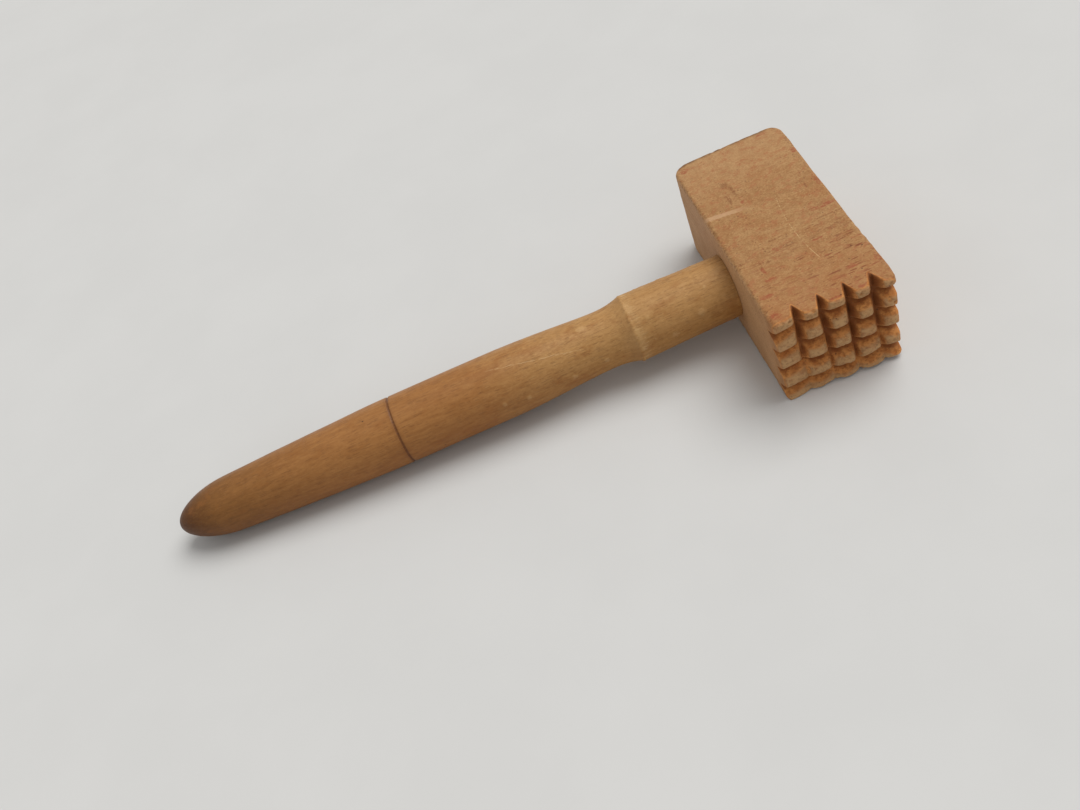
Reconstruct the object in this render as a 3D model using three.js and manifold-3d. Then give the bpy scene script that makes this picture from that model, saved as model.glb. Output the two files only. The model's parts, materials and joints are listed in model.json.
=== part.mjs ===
// Wooden meat mallet: a hardwood block with a toothed striking face, on a turned handle.
// The handle's round tenon runs right through the block, and a wedge driven into its
// sawn end spreads it in the flared mouth of the bore, so that the head can't fly off.
//
// The tool is built in its own axes: +X along the handle from the head to the end of the
// grip, +Y out of the toothed face, +Z out of the upper cheek, with the middle of the head
// at zero. It is then laid down as it rests on a table. All sizes are in millimetres.

import * as THREE from "three";
import { mergeVertices } from "three/addons/utils/BufferGeometryUtils.js";
import Module from "manifold-3d";

// Head block
const headWidth = 53; // along the handle
const headLength = 116; // from the plain striking face to the tips of the teeth
const headThickness = 48; // from cheek to cheek
const toothedCornerRadius = 4.5; // the two upright corners beside the toothed face
const plainCornerRadius = 7.5; // the two upright corners beside the plain striking face
const cheekEdgeRadius = 1.5; // the rounded edges of both cheeks

// Teeth: two crossing sets of grooves cut into one striking face
const toothColumns = 5; // side by side along the handle
const toothRows = 5; // from the upper cheek to the lower one
const gripSideColumn = 11.2; // from the grip side of the head to the first groove's middle
const outerColumn = 8.3; // from the last groove's middle to the outer end of the head
const upperRow = 8.2; // from the upper cheek to the first groove's middle
const lowerRow = 4.8; // from the last groove's middle to the lower cheek
const grooveDepth = 7.2; // of the level grooves, and of the upright ones at the upper cheek
const lowerGrooveDepth = 3.4; // of the upright grooves where they leave the lower cheek
const grooveMouth = 5.8;
const grooveFloor = 0.8;

// Handle, from the head outwards
const handleDrop = 2; // the handle's axis below the middle of the head
const neckRadius = 14.6; // at the head
const ridgeRadius = 15.6; // the crisp ridge that ends the neck
const waistRadius = 13.4;
const gripRadius = 15.8; // the fullest part
const noseRadius = 13.1; // where the rounded end begins
const neckLength = 48;
const coveLength = 12.5; // the hollow from the ridge to the waist
const swellLength = 55; // from the waist to the fullest part
const gripLength = 53; // at the full radius
const taperLength = 76;
const noseLength = 26.5;

// Ring burned round the grip
const ringPlace = 45.4; // from the start of the fullest part
const ringWidth = 1.2;
const ringDepth = 0.6;

// Joint between handle and head
const tenonRadius = 10;
const tenonSpread = 1; // how far the wedge pushes out each half of the tenon at its end
const wedgeLength = 26;
const sawCutWidth = 1.6;
const sawCutPastWedge = 6; // how much deeper the saw cut goes than the wedge
const fitGap = 0.3; // between faces that touch

// Fineness of the round shapes
const roundSegments = 40;
const cornerSegments = 5;
const edgeSegments = 3;

const cutMargin = 2; // how far a cutting shape reaches past what it cuts
const outerEnd = -headWidth / 2;
const gripSide = headWidth / 2;

const manifold = await Module();
manifold.setup();

// A closed three.js geometry as a solid that can be joined and cut.
function solid(geometry) {
  const bare = geometry.clone();
  bare.deleteAttribute("normal");
  bare.deleteAttribute("uv");
  const merged = mergeVertices(bare, 1e-4);
  return new manifold.Manifold(
    new manifold.Mesh({
      numProp: 3,
      vertProperties: new Float32Array(merged.attributes.position.array),
      triVerts: new Uint32Array(merged.index.array),
    }),
  );
}

// A solid as a named mesh with flat-shaded faces.
function piece(name, shape, material) {
  const { vertProperties, triVerts } = shape.getMesh();
  const geometry = new THREE.BufferGeometry();
  geometry.setAttribute("position", new THREE.BufferAttribute(vertProperties, 3));
  geometry.setIndex(new THREE.BufferAttribute(triVerts, 1));
  geometry.computeVertexNormals();
  const mesh = new THREE.Mesh(geometry, material);
  mesh.name = name;
  return mesh;
}

// A straight prism through Z = 0, from an outline in X and Y.
function prism(points, height) {
  const outline = new THREE.Shape(points.map(([x, y]) => new THREE.Vector2(x, y)));
  const geometry = new THREE.ExtrudeGeometry(outline, { depth: height, bevelEnabled: false });
  return geometry.translate(0, 0, -height / 2);
}

// The block with rounded corners and rounded cheek edges, before anything is cut.
function headBlank() {
  const corners = [
    [1, 1, toothedCornerRadius, 0],
    [-1, 1, toothedCornerRadius, Math.PI / 2],
    [-1, -1, plainCornerRadius, Math.PI],
    [1, -1, plainCornerRadius, (3 * Math.PI) / 2],
  ];
  const outline = new THREE.Shape();
  for (const [sideX, sideY, radius, turn] of corners) {
    const x = sideX * (headWidth / 2 - radius);
    const y = sideY * (headLength / 2 - radius);
    outline.absarc(x, y, radius, turn, turn + Math.PI / 2, false);
  }
  const blank = new THREE.ExtrudeGeometry(outline, {
    depth: headThickness - 2 * cheekEdgeRadius,
    curveSegments: cornerSegments,
    bevelThickness: cheekEdgeRadius,
    bevelSize: cheekEdgeRadius,
    bevelOffset: -cheekEdgeRadius,
    bevelSegments: edgeSegments,
  });
  return solid(blank.translate(0, 0, cheekEdgeRadius - headThickness / 2));
}

// A V groove with a narrow floor, open through the tips of the teeth and running along Z.
function groove(length) {
  const flank = (grooveMouth - grooveFloor) / 2 / grooveDepth; // sideways run per depth
  const floorY = headLength / 2 - grooveDepth;
  const topY = headLength / 2 + cutMargin;
  const topHalf = grooveMouth / 2 + flank * cutMargin;
  const section = [
    [-grooveFloor / 2, floorY],
    [grooveFloor / 2, floorY],
    [topHalf, topY],
    [-topHalf, topY],
  ];
  return prism(section, length + 2 * cutMargin);
}

// An upright groove, which gets shallower towards the lower cheek.
function uprightGroove() {
  const floorY = headLength / 2 - grooveDepth;
  const rise = grooveDepth - lowerGrooveDepth;
  const lean = Math.atan(rise / headThickness);
  const straight = groove(headThickness).translate(0, -floorY, 0);
  return straight.rotateX(lean).translate(0, floorY + rise / 2, 0);
}

// Both crossing sets of grooves, each spread evenly between its two outer grooves.
function grooves() {
  const cuts = [];
  const firstX = gripSide - gripSideColumn;
  const stepX = (headWidth - gripSideColumn - outerColumn) / (toothColumns - 2);
  for (let column = 0; column < toothColumns - 1; column++) {
    cuts.push(solid(uprightGroove().translate(firstX - column * stepX, 0, 0)));
  }
  const firstZ = headThickness / 2 - upperRow;
  const stepZ = (headThickness - upperRow - lowerRow) / (toothRows - 2);
  for (let row = 0; row < toothRows - 1; row++) {
    const across = groove(headWidth).rotateY(Math.PI / 2);
    cuts.push(solid(across.translate(0, 0, firstZ - row * stepZ)));
  }
  return cuts;
}

// A cylinder round the handle's axis, between two places along X.
function rod(radius, fromX, toX) {
  const geometry = new THREE.CylinderGeometry(radius, radius, toX - fromX, roundSegments);
  return geometry.rotateZ(Math.PI / 2).translate((fromX + toX) / 2, 0, -handleDrop);
}

// The stretch of tenon or bore along the wedge, which widens in Y to an oval mouth.
function flare(radius, overshoot) {
  const geometry = rod(radius, outerEnd - overshoot, outerEnd + wedgeLength);
  const spread = tenonSpread * (1 + overshoot / wedgeLength);
  const { position } = geometry.attributes;
  for (let i = 0; i < position.count; i++) {
    if (position.getX(i) < outerEnd + wedgeLength / 2) {
      position.setY(i, position.getY(i) * (1 + spread / radius));
    }
  }
  return solid(geometry);
}

// The bore right through the head, with its flared mouth.
function bore() {
  const radius = tenonRadius + fitGap;
  const straight = solid(rod(radius, outerEnd - cutMargin, gripSide + cutMargin));
  return straight.add(flare(radius, cutMargin));
}

// A point of the handle's outline, from its place along the axis and its radius there.
function station(x, radius) {
  return new THREE.Vector2(radius, x);
}

// A curve of the outline that starts and ends parallel to the axis.
function sweep(fromX, fromRadius, toX, toRadius, startPull, endPull) {
  return new THREE.CubicBezierCurve(
    station(fromX, fromRadius),
    station(fromX + startPull, fromRadius),
    station(toX - endPull, toRadius),
    station(toX, toRadius),
  );
}

// The handle's outline, from the tenon's end to the tip of the nose.
function handleOutline() {
  const shoulder = gripSide + fitGap;
  const ridge = gripSide + neckLength;
  const waist = ridge + coveLength;
  const fullest = waist + swellLength;
  const taper = fullest + gripLength;
  const nose = taper + taperLength;
  const tip = nose + noseLength;
  const ring = fullest + ringPlace;

  // The taper starts parallel to the axis, and soon runs straight to the nose.
  const easeLength = taperLength / 6;
  const taperPull = taperLength / 3;
  const nosePull = noseLength / 2;
  const noseSlope = (gripRadius - noseRadius) / (taperLength - easeLength);

  const coveCurve = sweep(ridge, ridgeRadius, waist, waistRadius, 0, 0.6 * coveLength);
  const swellCurve = sweep(
    waist,
    waistRadius,
    fullest,
    gripRadius,
    0.25 * swellLength,
    0.45 * swellLength,
  );
  const taperCurve = new THREE.CubicBezierCurve(
    station(taper, gripRadius),
    station(taper + easeLength, gripRadius),
    station(nose - taperPull, noseRadius + noseSlope * taperPull),
    station(nose, noseRadius),
  );
  const noseCurve = new THREE.CubicBezierCurve(
    station(nose, noseRadius),
    station(nose + nosePull, noseRadius - noseSlope * nosePull),
    station(tip, noseRadius / 2),
    station(tip, 0),
  );
  return [
    station(outerEnd, 0),
    station(outerEnd, tenonRadius),
    station(shoulder, tenonRadius),
    station(shoulder, neckRadius),
    ...coveCurve.getPoints(7),
    ...swellCurve.getPoints(8).slice(1),
    station(ring - ringWidth / 2, gripRadius),
    station(ring, gripRadius - ringDepth),
    station(ring + ringWidth / 2, gripRadius),
    ...taperCurve.getPoints(7),
    ...noseCurve.getPoints(12).slice(1),
  ];
}

// A prism along Z that is symmetrical about the handle's axis, from places along X and
// the half width at each.
function taperedPrism(stations, height) {
  const nearSide = stations.map(([x, half]) => [x, -half]).reverse();
  return solid(prism([...stations, ...nearSide], height).translate(0, 0, -handleDrop));
}

function makeHead(material) {
  let block = headBlank().subtract(bore());
  for (const cut of grooves()) {
    block = block.subtract(cut);
  }
  return piece("head", block, material);
}

// The turned handle, its tenon sawn down the middle and spread by the wedge.
function makeHandle(outline, material) {
  const turned = new THREE.LatheGeometry(outline, roundSegments);
  turned.rotateZ(-Math.PI / 2).translate(0, 0, -handleDrop);
  const cutEnd = outerEnd + wedgeLength + sawCutPastWedge;
  const mouthHalf = sawCutWidth / 2 + tenonSpread;
  const sawCut = taperedPrism(
    [
      [outerEnd - cutMargin, mouthHalf],
      [outerEnd, mouthHalf],
      [outerEnd + wedgeLength, sawCutWidth / 2],
      [cutEnd, sawCutWidth / 2],
    ],
    2 * (tenonRadius + cutMargin),
  );
  return piece("handle", solid(turned).add(flare(tenonRadius, 0)).subtract(sawCut), material);
}

// The wedge fills the opened saw cut and is trimmed to the tenon's round.
function makeWedge(material) {
  const tipHalf = sawCutWidth / 2 - fitGap;
  const blank = taperedPrism(
    [
      [outerEnd, tipHalf + tenonSpread],
      [outerEnd + wedgeLength, tipHalf],
    ],
    2 * (tenonRadius + cutMargin),
  );
  const round = solid(rod(tenonRadius, outerEnd - cutMargin, gripSide));
  return piece("wedge", blank.intersect(round), material);
}

// How far the mallet tips when it lies on its lower cheek: its weight is out in the
// handle, so it rocks over the head's lower grip-side edge until the grip touches.
function restingTilt(outline) {
  const edgeX = gripSide - cheekEdgeRadius;
  const clearOf = headThickness / 2 - handleDrop;
  const slopes = outline
    .filter((point) => point.y > gripSide + neckLength)
    .map((point) => (clearOf - point.x) / (point.y - edgeX));
  return Math.atan(Math.min(...slopes));
}

const headWood = new THREE.MeshStandardMaterial({ color: 0xb9875a, roughness: 0.72, metalness: 0 });
const handleWood = new THREE.MeshStandardMaterial({ color: 0xa9763f, roughness: 0.45, metalness: 0 });
const wedgeWood = new THREE.MeshStandardMaterial({ color: 0x8a6238, roughness: 0.7, metalness: 0 });

const outline = handleOutline();
const tool = new THREE.Group();
tool.add(makeHead(headWood));
tool.add(makeHandle(outline, handleWood));
tool.add(makeWedge(wedgeWood));
tool.rotation.y = restingTilt(outline);

// The origin is on the table, under the middle of the mallet's bounding box.
const mallet = new THREE.Group();
mallet.add(tool);
const box = new THREE.Box3().setFromObject(mallet, true);
const middle = box.getCenter(new THREE.Vector3());
tool.position.set(-middle.x, -middle.y, -box.min.z);

export default mallet;
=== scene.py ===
"""Looks of a used wooden meat mallet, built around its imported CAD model.

Shapes are worked out in the tool's own axes, in millimetres: +X along the handle from the head
to the end of the grip, +Y out of the toothed face, +Z out of the upper cheek, with the middle
of the head at zero. TOOL takes them to the row frame, in metres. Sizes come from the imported
record's mounts and from the CAD nodes' own vertices.
"""

import json
import math

import bpy
import numpy as np
from mathutils import Matrix, Vector


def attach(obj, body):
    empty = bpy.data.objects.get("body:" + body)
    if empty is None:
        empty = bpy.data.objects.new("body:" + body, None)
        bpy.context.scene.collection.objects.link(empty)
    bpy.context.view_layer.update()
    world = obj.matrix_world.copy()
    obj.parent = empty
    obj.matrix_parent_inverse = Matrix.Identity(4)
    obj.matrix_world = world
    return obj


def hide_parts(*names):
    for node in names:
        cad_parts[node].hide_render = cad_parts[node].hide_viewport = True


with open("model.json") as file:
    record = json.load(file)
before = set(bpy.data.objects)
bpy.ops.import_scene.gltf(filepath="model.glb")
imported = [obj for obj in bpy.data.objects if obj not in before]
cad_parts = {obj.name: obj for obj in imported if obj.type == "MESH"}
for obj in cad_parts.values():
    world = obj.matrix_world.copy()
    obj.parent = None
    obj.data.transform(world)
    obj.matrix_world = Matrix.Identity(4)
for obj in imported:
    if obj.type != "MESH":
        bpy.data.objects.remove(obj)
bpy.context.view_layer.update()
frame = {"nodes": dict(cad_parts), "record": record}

MM = 0.001

# ---------------------------------------------------------------- the tool's own axes

MOUNTS = {mount["name"]: mount for mount in frame["record"]["mounts"]}


def mount_place(name):
    return Vector(MOUNTS[name]["pos_m"])


def mount_axis(name):
    return Vector(MOUNTS[name]["axis"]).normalized()


UP = mount_axis("upper_cheek")
ALONG = -mount_axis("outer_end")
TOOTHWARD = UP.cross(ALONG)
HEAD_MIDDLE = (mount_place("upper_cheek") + mount_place("lower_cheek")) / 2
TURN = Matrix((ALONG, TOOTHWARD, UP)).transposed()
TOOL = Matrix.Translation(HEAD_MIDDLE) @ TURN.to_4x4() @ Matrix.Scale(MM, 4)
TILT = math.atan2(-ALONG.z, ALONG.x)


def half_size(name, axis):
    """Distance in millimetres from the head's middle to the face that a mount lies on."""
    return abs((mount_place(name) - HEAD_MIDDLE).dot(axis)) / MM


HALF_WIDTH = half_size("outer_end", ALONG)
HALF_LENGTH = half_size("plain_striking_face", TOOTHWARD)
HALF_THICK = half_size("upper_cheek", UP)


def cad_points(node):
    """The vertices of a CAD node, in the tool's axes."""
    vertices = frame["nodes"][node].data.vertices
    points = np.empty(len(vertices) * 3, np.float32)
    vertices.foreach_get("co", points)
    offsets = points.reshape(-1, 3).astype(float) - np.array(HEAD_MIDDLE)
    return offsets @ np.array(TURN) / MM


# ---------------------------------------------------------------- helpers for shapes

NOISE_CELLS = 32
noise_tables = {}


def noise(points, size, seed):
    """Smooth values from about -1 to 1 that change over size millimetres."""
    if seed not in noise_tables:
        draw = np.random.default_rng(seed)
        noise_tables[seed] = draw.uniform(-1, 1, (NOISE_CELLS,) * 3)
    table = noise_tables[seed]
    cells = points / size + NOISE_CELLS / 2 + 0.37
    base = np.floor(cells).astype(int)
    share = cells - base
    share = share * share * (3 - 2 * share)
    total = np.zeros(len(points))
    for corner in np.ndindex(2, 2, 2):
        weight = np.prod(np.where(corner, share, 1 - share), axis=1)
        i, j, k = ((base + corner) % NOISE_CELLS).T
        total += weight * table[i, j, k]
    return total * 1.4


def ease(values, low, high):
    """0 up to low, 1 from high on, and smooth between them; low may be above high."""
    share = np.clip((values - low) / (high - low), 0, 1)
    return share * share * (3 - 2 * share)


def soft_min(a, b, blend):
    """The lower of two heights, rounded where they come within blend of each other."""
    near = np.maximum(blend - np.abs(a - b), 0) / blend
    return np.minimum(a, b) - near * near * blend / 4


def divide(*stretches):
    """Places along an axis, from (start, end, greatest step) stretches that follow on."""
    places = [np.array([stretches[0][0]])]
    for start, end, step in stretches:
        count = max(1, math.ceil(abs(end - start) / step))
        places.append(np.linspace(start, end, count + 1)[1:])
    return np.concatenate(places)


def box_skin(xs, ys, zs):
    """Points and four-sided faces of a box's skin, divided at the given places."""
    places = (xs, ys, zs)
    sheets = []
    for axis in range(3):
        a, b = (axis + 1) % 3, (axis + 2) % 3
        first, second = np.meshgrid(range(len(places[a])), range(len(places[b])), indexing="ij")
        for end in (0, len(places[axis]) - 1):
            index = [0, 0, 0]
            index[axis], index[a], index[b] = end, first, second
            key = (index[0] * len(ys) + index[1]) * len(zs) + index[2]
            corners = (key[:-1, :-1], key[1:, :-1], key[1:, 1:], key[:-1, 1:])
            quads = np.stack(corners, -1).reshape(-1, 4)
            sheets.append(quads if end else quads[:, ::-1])
    keys, faces = np.unique(np.concatenate(sheets), return_inverse=True)
    i, j, k = keys // (len(ys) * len(zs)), keys // len(zs) % len(ys), keys % len(zs)
    return np.stack([xs[i], ys[j], zs[k]], 1), faces.reshape(-1, 4)


def lathe(outline, sides):
    """Points and faces of a closed turned shape round X, from (x, radius) outline points.

    The outline's first and last points lie on the axis.
    """
    angles = np.arange(sides) * 2 * math.pi / sides
    x, radius = outline[1:-1].T
    rings = np.stack(
        [
            np.repeat(x, sides),
            np.outer(radius, np.cos(angles)).ravel(),
            np.outer(radius, np.sin(angles)).ravel(),
        ],
        1,
    )
    points = np.concatenate([rings, [[outline[0][0], 0, 0]], [[outline[-1][0], 0, 0]]])
    side = np.arange(sides)
    after = (side + 1) % sides
    faces = []
    for ring in range(len(x) - 1):
        here, there = ring * sides, (ring + 1) * sides
        quads = np.stack([here + side, here + after, there + after, there + side], 1)
        faces.extend(quads[:, ::-1].tolist())
    start, end = len(points) - 2, len(points) - 1
    last = (len(x) - 1) * sides
    faces.extend([start, int(b), int(a)][::-1] for a, b in zip(side, after))
    faces.extend([end, int(last + a), int(last + b)][::-1] for a, b in zip(side, after))
    return points, faces


def new_piece(name, points, faces):
    """A mesh object in the tool's axes."""
    mesh = bpy.data.meshes.new(name)
    mesh.from_pydata(points.tolist(), [], faces if isinstance(faces, list) else faces.tolist())
    mesh.validate()
    piece = bpy.data.objects.new(name, mesh)
    bpy.context.scene.collection.objects.link(piece)
    return piece


def points_of(piece):
    points = np.empty(len(piece.data.vertices) * 3, np.float32)
    piece.data.vertices.foreach_get("co", points)
    return points.reshape(-1, 3).astype(float)


def set_points(piece, points):
    piece.data.vertices.foreach_set("co", points.astype(np.float32).ravel())
    piece.data.update()


def normals_of(piece):
    normals = np.empty(len(piece.data.vertices) * 3, np.float32)
    piece.data.vertex_normals.foreach_get("vector", normals)
    return normals.reshape(-1, 3).astype(float)


def emboss(piece, height):
    """Moves every point out along its normal by height, in millimetres."""
    set_points(piece, points_of(piece) + normals_of(piece) * height[:, None])


def dents(points, places, radii, depths):
    """Height of round dents pressed in at places: 0 or less everywhere."""
    height = np.zeros(len(points))
    for place, radius, depth in zip(places, radii, depths):
        near = np.abs(points - place).max(1) < radius
        share = ((points[near] - place) ** 2).sum(1) / radius**2
        height[near] -= depth * np.clip(1 - share, 0, 1) ** 1.5
    return height


def cut(piece, cutter):
    """Takes the cutter's volume out of the piece."""
    modifier = piece.modifiers.new("cut", "BOOLEAN")
    modifier.operation = "DIFFERENCE"
    modifier.solver = "EXACT"
    modifier.object = cutter
    shown = piece.evaluated_get(bpy.context.evaluated_depsgraph_get())
    result = bpy.data.meshes.new_from_object(shown)
    piece.modifiers.clear()
    piece.data = result
    bpy.data.objects.remove(cutter)


def mark(piece, name, values):
    """Stores one number for each point, for the materials to read."""
    attribute = piece.data.attributes.new(name, "FLOAT", "POINT")
    attribute.data.foreach_set("value", values.astype(np.float32))


def settle(piece, material, node, sharp_angle):
    """Takes a finished piece to the row frame and fastens it to the frame."""
    piece.data.transform(TOOL)
    for polygon in piece.data.polygons:
        polygon.use_smooth = True
    piece.data.set_sharp_from_angle(angle=math.radians(sharp_angle))
    piece.data.materials.clear()
    piece.data.materials.append(material)
    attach(piece, "root")
    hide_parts(node)


# ---------------------------------------------------------------- head

HEAD_STEP = 0.42  # between points along X and Z
RIM_STEP = 0.4  # and along Y: close to the plain face,
CORNER_STEP = 0.8  # over the rest of its corners,
BODY_STEP = 1.1  # over the plain part of the block
TOOTH_STEP = 0.6  # and over the teeth
RIM_DEPTH = 2.4  # how far from the plain face RIM_STEP is used
TOOTHED_CORNER = 3.5  # radius of the upright corners at the toothed face
PLAIN_CORNER = 6.6  # and at the plain striking face, on the grip side
PLAIN_OUTER_CORNER = 5.5  # and on the outer side
CHEEK_EDGE = 1.5  # radius of the cheeks' worn edges
TIP_EDGE = 1.4  # how much rounder the upper cheek's edge is at the teeth
TOOTH_ZONE = 15  # how far behind the tips the skin is drawn back into the grooves
PLAIN_CROWN = 1.0  # how far the plain face is worn back at its edges
PLAIN_PROUD = 0.9  # how far the middle of its crown stands out
CROWN_DEPTH = 14  # how far behind the plain face the crown begins

COLUMN_HALF_MOUTH = 2.8
ROW_HALF_MOUTH = 3.4
GROOVE_HALF_FLOOR = 0.35
GROOVE_WANDER = 0.45  # how far a hand-sawn groove strays sideways
COLUMN_DEPTHS = (6.9, 7.6, 7.4, 7.5)  # at the upper cheek, from the outer end to the grip side
COLUMN_RISES = (5.2, 5.3, 5.5, 6.7)  # how much shallower they are at the lower cheek
RISE_CURVE = 2.3  # more than 1 puts most of that near the lower cheek
ROW_DEPTHS = (6.8, 7.3, 7.0, 7.4)  # from the lower cheek to the upper one
NO_RISE = (0, 0, 0, 0)
TIP_WEAR = (-0.3, 0.1, 0.4, 0.8, 1.2)  # from the outer end to the grip side
TIP_LEAN = 0.45  # how far a tip may slope either way
TIP_DOME = (1.7, 1.2)  # how far a tip falls to its grooves, along X and along Z
TIP_PAST = 6  # how far past the block's sides the outer teeth would go on
TIP_ROUNDING = (1.8, 3.6)  # over what height a tip turns into upright and level grooves


RED_STAINS = (  # X, Y and half sizes along X and Y, on the upper cheek
    (-21, 4, 8, 1.5),
    (-14, 43, 3.0, 1.5),
    (23, 51, 2.8, 2.4),
    (16, 32, 3.4, 1.4),
    (17, 26, 1.0, 2.4),
    (22, 40, 3.4, 1.6),
    (-1, 55.5, 3.0, 1.6),
    (-13, 55, 2.8, 1.4),
    (-25, 44, 1.6, 3.0),
    (-25, -36, 1.8, 3.2),
    (22, -53, 2.8, 2.0),
    (-17, -55, 3.0, 1.4),
    (8, -18, 1.4, 1.2),
    (-25, -12, 1.6, 4.0),
    (7, 17, 3.0, 1.3),
    (-9, 21, 3.4, 0.9),
)
BROWN_STAINS = (  # the same for the darker brown ones
    (8.6, -27, 1.2, 5.0),
    (12.4, -23, 1.4, 4.6),
    (10.5, -33, 2.4, 2.6),
    (-19.4, -11.5, 0.8, 2.6),
    (-17, -15, 3.6, 0.9),
    (-8, -6, 1.0, 0.8),
    (-20, 10, 7.0, 0.8),
    (-19, 26, 8.0, 0.8),
    (13, 22, 1.2, 1.0),
    (16, 21, 1.4, 1.2),
    (17, 24, 1.0, 1.4),
    (24, 17, 1.4, 1.4),
    (6, 11, 5.0, 0.9),
    (-21, 17, 4.0, 0.8),
)


def groove_middles():
    """The X of the upright grooves and the Z of the level ones, from the CAD head."""
    points = cad_points("head")
    front = points[points[:, 1] > HALF_LENGTH / 2]
    floors = front[front[:, 1] < front[:, 1].min() + 0.1]
    columns = floors[np.abs(floors[:, 2]) > HALF_THICK - 0.1][:, 0]
    rows = floors[np.abs(floors[:, 0]) > HALF_WIDTH - 0.1][:, 2]
    return [np.unique(ends.round(1)).reshape(-1, 2).mean(1) for ends in (columns, rows)]


COLUMN_MIDDLES, ROW_MIDDLES = groove_middles()


def flanks(across, run, middles, mouth, depths, rises, seed):
    """Height of the nearest groove's flank, for grooves at middles that follow run.

    They are as deep as depths say where run is greatest, and shallower by rises where it is least.
    """
    shallower = ((run.max() - run) / np.ptp(run)) ** RISE_CURVE
    height = np.full(len(across), np.inf)
    for number, (middle, depth, rise) in enumerate(zip(middles, depths, rises)):
        line = np.stack([run, np.full(len(run), 50.0 * number), np.zeros(len(run))], 1)
        strayed = across - middle - GROOVE_WANDER * noise(line, 11, seed)
        off = np.sqrt(strayed**2 + GROOVE_HALF_FLOOR**2) - GROOVE_HALF_FLOOR
        half_mouth = mouth * (1 + 0.13 * noise(line, 13, seed + 1))
        floor = depth * (1 + 0.05 * noise(line, 15, seed + 2)) - rise * shallower
        height = np.minimum(height, HALF_LENGTH - floor + depth * off / half_mouth)
    return height


def tooth_tops(x, z):
    """Height of the teeth's blunt tips over every X and Z, as if there were no grooves."""
    draw = np.random.default_rng(5)
    teeth = (len(COLUMN_MIDDLES) + 1, len(ROW_MIDDLES) + 1)
    chance = draw.uniform(-0.3, 0.35, teeth)
    lean_x, lean_z = draw.uniform(-TIP_LEAN, TIP_LEAN, (2, *teeth))
    past_x, past_z = HALF_WIDTH + TIP_PAST, HALF_THICK + TIP_PAST
    columns = np.concatenate([[-past_x], COLUMN_MIDDLES, [past_x]])
    rows = np.concatenate([[-past_z], ROW_MIDDLES, [past_z]])
    column = np.clip(np.searchsorted(columns, x) - 1, 0, len(columns) - 2)
    row = np.clip(np.searchsorted(rows, z) - 1, 0, len(rows) - 2)
    share_x = 2 * (x - columns[column]) / (columns[column + 1] - columns[column]) - 1
    share_z = 2 * (z - rows[row]) / (rows[row + 1] - rows[row]) - 1
    wear = np.array(TIP_WEAR)[column] + chance[column, row]
    wear += lean_x[column, row] * share_x + lean_z[column, row] * share_z
    return HALF_LENGTH - wear - TIP_DOME[0] * share_x**2 - TIP_DOME[1] * share_z**2


def toothed_face(x, z):
    """Heights over every X and Z: of the toothed face, of its tips and of its upright grooves."""
    tops = tooth_tops(x, z)
    columns = flanks(x, z, COLUMN_MIDDLES, COLUMN_HALF_MOUTH, COLUMN_DEPTHS, COLUMN_RISES, 21)
    rows = flanks(z, x, ROW_MIDDLES, ROW_HALF_MOUTH, ROW_DEPTHS, NO_RISE, 31)
    ribs = soft_min(columns, tops, TIP_ROUNDING[0])
    return soft_min(ribs, rows, TIP_ROUNDING[1]), tops, columns


def quarter_round(p, q):
    """Moves points of the unit square so that its two outer sides become a quarter circle."""
    low, high = np.minimum(p, q), np.maximum(np.maximum(p, q), 1e-9)
    turn = math.pi / 4 * low / high
    turn = np.where(p >= q, turn, math.pi / 2 - turn)
    return high * np.cos(turn), high * np.sin(turn)


def corner_radius(x, y):
    plain = np.where(x > 0, PLAIN_CORNER, PLAIN_OUTER_CORNER)
    return np.where(y > 0, TOOTHED_CORNER, plain)


def round_corners(points):
    """Rounds the block's four upright corners."""
    x, y, z = points.T
    radius = corner_radius(x, y)
    p = (np.abs(x) - HALF_WIDTH + radius) / radius
    q = (np.abs(y) - HALF_LENGTH + radius) / radius
    corner = (p > 0) & (q > 0)
    round_p, round_q = quarter_round(p.clip(0, 1), q.clip(0, 1))
    new_x = np.sign(x) * (HALF_WIDTH - radius + radius * round_p)
    new_y = np.sign(y) * (HALF_LENGTH - radius + radius * round_q)
    return np.stack([np.where(corner, new_x, x), np.where(corner, new_y, y), z], 1)


def inset(points):
    """How far inside the block's outline each point is, and the outward direction there."""
    x, y, _ = points.T
    radius = corner_radius(x, y)
    past_x = np.abs(x) - HALF_WIDTH + radius
    past_y = np.abs(y) - HALF_LENGTH + radius
    corner = (past_x > 0) & (past_y > 0)
    reach = np.maximum(np.hypot(past_x, past_y), 1e-9)
    side_x = (past_x > past_y).astype(float)
    out_x = np.sign(x) * np.where(corner, past_x / reach, side_x)
    out_y = np.sign(y) * np.where(corner, past_y / reach, 1 - side_x)
    depth = np.where(corner, radius - reach, radius - np.maximum(past_x, past_y))
    return depth, out_x, out_y


def round_cheek_edges(points):
    """Rounds the edges of both cheeks, more in some places than in others."""
    depth, out_x, out_y = inset(points)
    z = points[:, 2]
    radius = CHEEK_EDGE * (1 + 0.45 * noise(points * (1, 1, 0.2), 13, 41))
    radius += TIP_EDGE * ease(points[:, 1], HALF_LENGTH - 8, HALF_LENGTH - 3) * (z > 0)
    p = 1 - depth / radius
    q = 1 - (HALF_THICK - np.abs(z)) / radius
    edge = (p > 0) & (q > 0)
    round_p, round_q = quarter_round(p.clip(0, 1), q.clip(0, 1))
    inward = np.where(edge, radius * (p - round_p), 0)
    new_z = np.sign(z) * (HALF_THICK - radius * (1 - round_q))
    x = points[:, 0] - out_x * inward
    y = points[:, 1] - out_y * inward
    return np.stack([x, y, np.where(edge, new_z, z)], 1)


def rounded(points):
    return round_cheek_edges(round_corners(points))


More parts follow.
